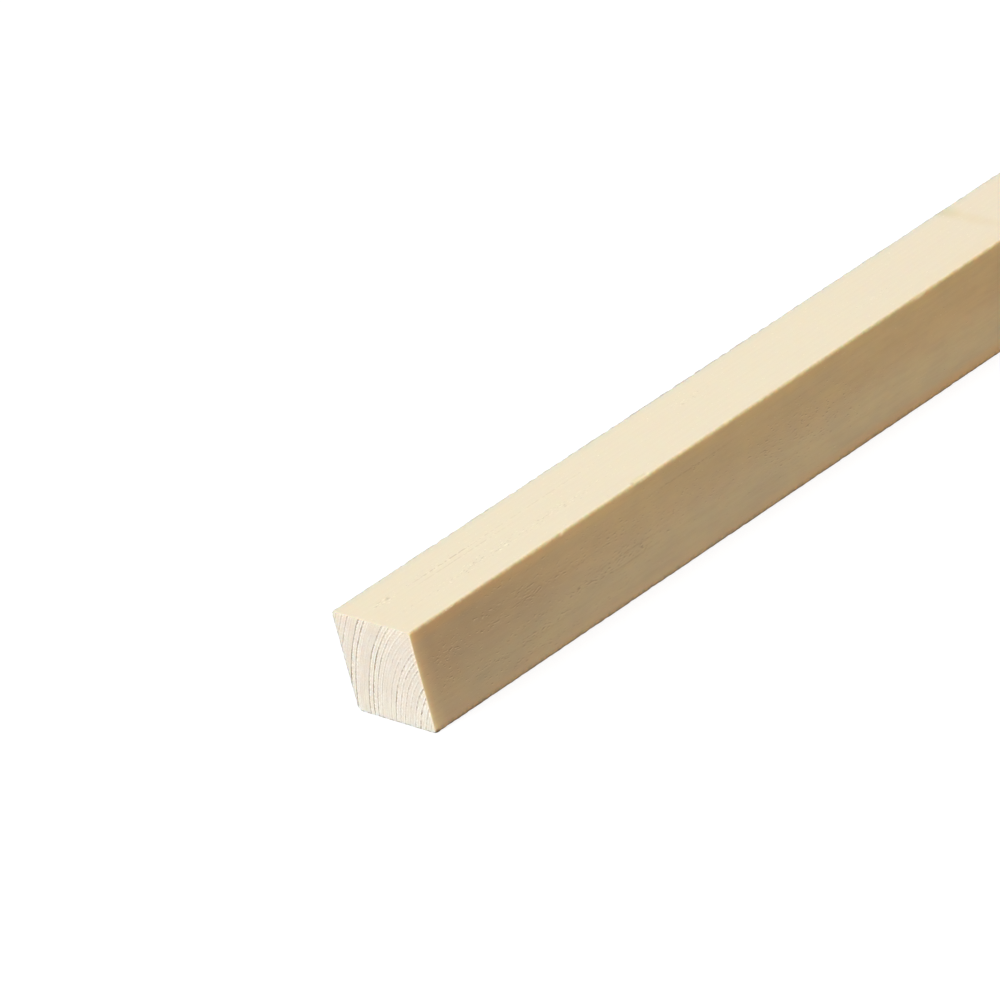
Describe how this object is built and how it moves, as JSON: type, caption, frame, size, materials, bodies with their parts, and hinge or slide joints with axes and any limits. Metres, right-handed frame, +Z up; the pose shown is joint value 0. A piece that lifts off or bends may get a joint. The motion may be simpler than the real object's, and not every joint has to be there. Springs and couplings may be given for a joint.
{
  "type": "square wood batten",
  "caption": "Straight length of planed square softwood with slightly eased long edges and square-sawn ends.",
  "frame": {"origin": "middle of the underside, halfway along the length", "axes": "+Y along the grain, +Z up through the top face, +X across the section"},
  "size_m": [0.034, 1, 0.034],
  "materials": {
    "bare_softwood": "matte"
  },
  "bodies": {
    "root": {"batten": "bare_softwood"}
  },
  "joints": []
}
